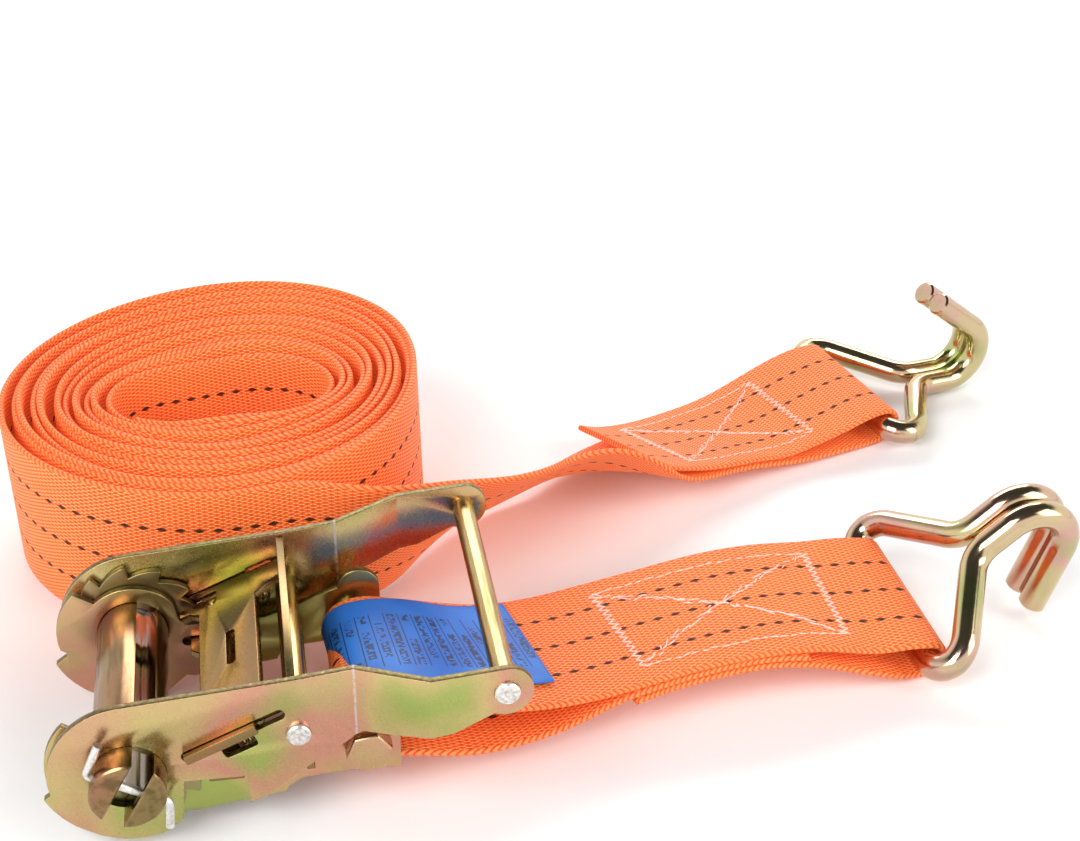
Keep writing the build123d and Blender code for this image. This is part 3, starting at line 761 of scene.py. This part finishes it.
def stand_in(node, name, mesh, material):
    """Smooths the mesh up to its sharp edges and puts it in a CAD node's place, on the node's body."""
    source = frame["nodes"][node]
    mesh.polygons.foreach_set("use_smooth", [True] * len(mesh.polygons))
    mesh.set_sharp_from_angle(angle=radians(38))
    piece = add_piece(name, mesh, material, source["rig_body"])
    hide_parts(node)
    return piece


def softened(node, width, material):
    """A copy of a CAD node with its sharp edges rounded; it replaces the node."""
    name = node + "_finished"
    holder = bpy.data.objects.new(node + "_holder", merged_copy(node, name, flatten=True))
    bpy.context.scene.collection.objects.link(holder)
    bevel = holder.modifiers.new("broken edges", "BEVEL")
    bevel.width, bevel.segments = width / 1000.0, 2
    bevel.limit_method, bevel.angle_limit = "ANGLE", radians(34)
    bevel.use_clamp_overlap = True
    return stand_in(node, name, baked(holder, name), material)


def compressed(node, material):
    """A merged copy of a spring with a mesh of its own; it replaces the node."""
    name = node + "_coils"
    piece = stand_in(node, name, merged_copy(node, name, flatten=False), material)
    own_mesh(piece)
    return piece


def dress(node, material):
    """Gives a CAD node that stays as it is a better material."""
    frame["nodes"][node].material_slots[0].material = material


# ---- build ----------------------------------------------------------------------------------------
set_camera()

cloth = webbing_cloth("orange webbing")
thread = sewing_thread("seam thread")
plate_palette = (0.54, 0.41, 0.18), (0.58, 0.27, 0.20), (0.34, 0.40, 0.11)
pawl_palette = (0.27, 0.18, 0.07), (0.32, 0.17, 0.08), (0.20, 0.17, 0.06)
wheel_palette = (0.36, 0.27, 0.13), (0.38, 0.23, 0.13), (0.28, 0.27, 0.11)
spindle_palette = (0.30, 0.20, 0.09), (0.35, 0.18, 0.10), (0.22, 0.18, 0.07)
wire_palette = (0.58, 0.46, 0.26), (0.60, 0.36, 0.30), (0.40, 0.43, 0.18)
bolt_palette = (0.52, 0.38, 0.17), (0.54, 0.28, 0.20), (0.38, 0.35, 0.14)
spring_palette = (0.50, 0.36, 0.20), (0.50, 0.30, 0.20), (0.36, 0.32, 0.15)
plate_zinc = chromate("plated plate", plate_palette, 0.30, cut_edges=0.85)
handle_zinc = chromate("plated handle", plate_palette, 0.27, cut_edges=0.9, bends=True)
pawl_zinc = chromate("plated pawl", pawl_palette, 0.26, speckle=0.8)
wheel_zinc = chromate("plated wheel", wheel_palette, 0.32, speckle=0.8, cut_edges=0.5)
spindle_zinc = chromate("plated spindle", spindle_palette, 0.24, speckle=0.6, streaks=(1.0, 0.12, 1.0))
wire_zinc = chromate("plated wire", wire_palette, 0.16, speckle=0.35)
bolt_zinc = chromate("plated bolt", bolt_palette, 0.28, speckle=0.4)
spring_zinc = chromate("plated spring", spring_palette, 0.22, speckle=0.4)

rows = curve_through(long_strap_stations(), 1.0)
wound = int(np.argmax(rows[:, 0] > 120.0) * 0.98)
long_band = Band(thinned(rows, wound, 3))
long_mesh = long_band.mesh("long_strap_webbing", WEBBING_T)
long_strap = add_piece("long_strap_webbing", long_mesh, cloth, "long_strap")
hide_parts("long_strap", "long_strap_coil")
end = long_band.length
seam_lift = -(WEBBING_T / 2 + 0.12)         # just off the strap's outer face
long_stitches = box_and_cross(long_band, end - 68.0, end - 14.0, 19.0, seam_lift, 11)
long_seams = sewn("long_strap_seams", long_stitches, THREAD_R, thread, "long_strap")


def fixed_strap_stations():
    """One strip: a low end, the near hook's eye, the top layer, the bolt's eye and the middle layer."""
    top = [(201.0, 22.9, 16.9, 7), (188.0, 21.9, 18.8, 5), (168.0, 19.9, 19.9, 2), (147.0, 17.2, 18.3, 0),
           (133.0, 14.6, 17.2, 0), (119.0, 11.0, 17.0, 0), (104.0, 6.8, 18.8, 0), (90.0, 3.2, 22.6, 0),
           (78.0, 0.9, 26.8, 0), (68.0, 0.2, 29.3, 0)]
    low = [(201.0, 22.9, 8.6, 7), (191.0, 22.1, 11.8, 5.5), (182.0, 21.3, 14.0, 4), (168.0, 19.9, 15.7, 2),
           (147.0, 17.2, 14.1, 0), (135.0, 15.0, 12.9, 0), (127.0, 12.9, 11.7, 0)]
    middle = [(70.0, 0.2, 13.6, 0), (84.0, 1.8, 10.6, 0), (98.0, 5.2, 9.4, 0), (112.0, 9.2, 10.8, 0),
              (126.0, 12.9, 14.0, 0), (136.0, 15.2, 15.1, 0), (147.0, 17.2, 16.2, 0), (168.0, 19.9, 17.8, 2),
              (182.0, 21.3, 16.6, 4)]
    stations = flat_stations([(x, y, z, -roll, 12) for x, y, z, roll in reversed(low)])
    stations += wrap(NEAR_BAR, NEAR_HEADING, NEAR_ROLL, BAR_WRAP, (-96, -60, -22, 14, 50, 84), EYE_W)
    stations += flat_stations([(x, y, z, -roll, 8 if x < 100 else 12) for x, y, z, roll in top])
    stations += wrap(BOLT, 0.0, 0.0, SLEEVE_WRAP, (96, 130, 165, 200, 235, 264), WEBBING_W)
    stations += flat_stations([(x, y, z, -roll, 4 if x < 90 else 12) for x, y, z, roll in middle])
    return stations


def run_at(band, x, first, last):
    """The length along a band where its middle passes this x, between two shares of the whole."""
    part = (band.run > first * band.length) & (band.run < last * band.length)
    return float(band.run[part][np.argmin(abs(band.middle[part, 0] - x))])


short_band = Band(curve_through(fixed_strap_stations(), 1.0))
short_mesh = short_band.mesh("fixed_strap_webbing", WEBBING_T, parts=18)
fixed_strap = add_piece("fixed_strap_webbing", short_mesh, cloth, "fixed_strap")
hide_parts("fixed_strap")
box_far, box_near = run_at(short_band, 195.0, 0.25, 0.6), run_at(short_band, 133.0, 0.25, 0.6)
short_stitches = box_and_cross(short_band, box_far, box_near, 18.5, seam_lift, 31)
short_seams = sewn("fixed_strap_seams", short_stitches, THREAD_R, thread, "fixed_strap")

label_rows = [(53.2, 1.2, 22.5), (54.0, 1.3, 26.4), (56.6, 1.5, 29.4), (61.0, 1.8, 30.9), (68.0, 2.5, 31.0),
              (78.0, 3.8, 28.6), (90.0, 6.3, 24.3), (104.0, 9.9, 20.5), (107.0, 10.6, 20.1)]
label_stations = [(x, y, z, *level(6 if x < 90 else 13), LABEL_W) for x, y, z in label_rows]
label_band = Band(curve_through(label_stations, 1.0))
label_mesh = label_band.mesh("strap_label_cloth", LABEL_T, parts=20, turns=4)
label = add_piece("strap_label_cloth", label_mesh, label_cloth("blue label"), "fixed_strap")
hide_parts("strap_label")

for node in ("frame_plate_near", "frame_plate_far"):
    softened(node, 0.25, plate_zinc)
for node in ("handle_plate_near", "handle_plate_far"):
    softened(node, 0.28, handle_zinc)
for node in ("ratchet_wheel_near", "ratchet_wheel_far"):
    softened(node, 0.2, wheel_zinc)
for node in ("lock_pawl", "drive_pawl"):
    softened(node, 0.3, pawl_zinc)
for node in ("spindle_half_left", "spindle_half_right"):
    softened(node, 0.35, spindle_zinc)
for node in ("hex_bolt", "hex_nut"):
    softened(node, 0.25, bolt_zinc)
softened("spring_seat", 0.25, pawl_zinc)
dress("bolt_sleeve", spindle_zinc)
dress("tie_rod", rod_zinc("tie rod zinc", 34.5))
dress("grip_bar", rod_zinc("grip bar zinc", 44.0))
dress("cotter_pins", bright_zinc("bright pin"))
compressed(node="drive_pawl_springs", material=spring_zinc)
compressed(node="lock_pawl_spring", material=spring_zinc)
for node in ("near_hook", "far_hook"):
    dress(node, wire_zinc)

lay_floor()
bpy.context.scene.view_settings.view_transform = "Standard"
set_studio()
